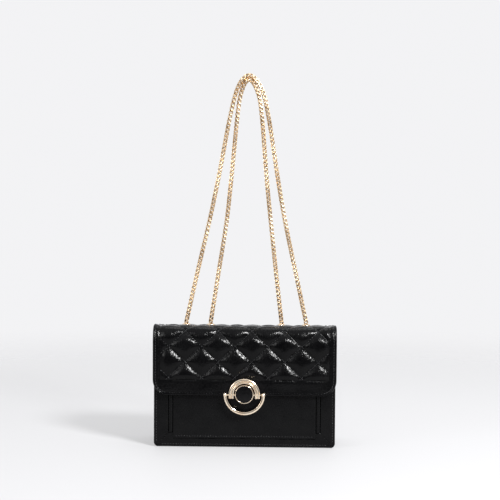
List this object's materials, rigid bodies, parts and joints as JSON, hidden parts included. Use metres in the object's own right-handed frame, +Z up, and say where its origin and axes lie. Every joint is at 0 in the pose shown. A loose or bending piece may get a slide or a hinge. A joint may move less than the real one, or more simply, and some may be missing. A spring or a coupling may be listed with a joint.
{
  "type": "crossbody purse",
  "caption": "Small structured crossbody purse with a quilted fold-over flap, ring clasp and sliding chain strap.",
  "frame": {"origin": "middle of the base, on the surface that the bag stands on, half way between the clasp's face and the back", "axes": "+X across the front to the right, +Y from the front to the back, +Z up"},
  "size_m": [0.21, 0.077, 0.4323],
  "materials": {
    "quilted_leather": "crinkled black patent leather, quilted",
    "body_leather": "crinkled black patent leather",
    "lining": "plain woven polyester lining, charcoal",
    "foam": "soft padding sheet",
    "stiffener": "grey-brown bag board",
    "zip_tape": "woven zip tape, black",
    "hardware": "pale gold plate, polished",
    "chain": "light alloy box chain with pale gold plating",
    "enamel": "black enamel inlay, glossy",
    "magnet": "bare steel plate"
  },
  "bodies": {
    "root": {"back_panel": "body_leather", "front_panel": "body_leather", "left_gusset": "body_leather", "right_gusset": "body_leather", "base_panel": "body_leather", "base_board": "stiffener", "front_board": "stiffener", "back_board": "stiffener", "front_pocket": "body_leather", "left_welt": "body_leather", "right_welt": "body_leather", "left_border": "body_leather", "right_border": "body_leather", "base_border": "body_leather", "rear_cover": "quilted_leather", "rear_padding": "foam", "top_board": "stiffener", "top_lining": "lining", "lining_front": "lining", "lining_back": "lining", "lining_base": "lining", "lining_left": "lining", "lining_right": "lining", "card_pocket": "lining", "zip_pocket": "lining", "zip_tapes": "zip_tape", "zip_teeth": "hardware", "zip_stops": "hardware", "eyelets": "hardware", "eyelet_washers": "hardware", "body_magnet": "magnet", "chain_run_left": "chain", "chain_run_right": "chain"},
    "flap": {"flap_cover": "quilted_leather", "flap_padding": "foam", "flap_lining": "lining", "flap_magnet": "magnet", "clasp_arch": "hardware", "clasp_disc": "hardware", "clasp_inlay": "enamel", "clasp_pin": "hardware", "clasp_washer": "magnet", "clasp_rivets": "magnet"},
    "ring": {"clasp_ring": "hardware"},
    "strap": {"chain_outer": "chain", "chain_inner": "chain"},
    "slider": {"zip_slider": "hardware"},
    "pull": {"zip_pull": "hardware"}
  },
  "joints": [
    {"name": "flap_hinge", "type": "hinge", "parent": "root", "child": "flap", "pos_m": [0, 0.014, 0.135], "axis": [-1, 0, 0], "range_deg": [0, 95]},
    {"name": "ring_swing", "type": "hinge", "parent": "flap", "child": "ring", "pos_m": [0, -0.0361, 0.0617], "axis": [-1, 0, 0], "range_deg": [-8, 165]},
    {"name": "strap_swing", "type": "hinge", "parent": "root", "child": "strap", "pos_m": [0, 0.0275, 0.1389], "axis": [-1, 0, 0], "range_deg": [-80, 90]},
    {"name": "zip_slide", "type": "slide", "parent": "root", "child": "slider", "axis": [1, 0, 0], "range_m": [0, 0.13]},
    {"name": "pull_swing", "type": "hinge", "parent": "slider", "child": "pull", "pos_m": [-0.063, 0.02745, 0.092], "axis": [0, 0, 1], "range_deg": [0, 150]}
  ]
}
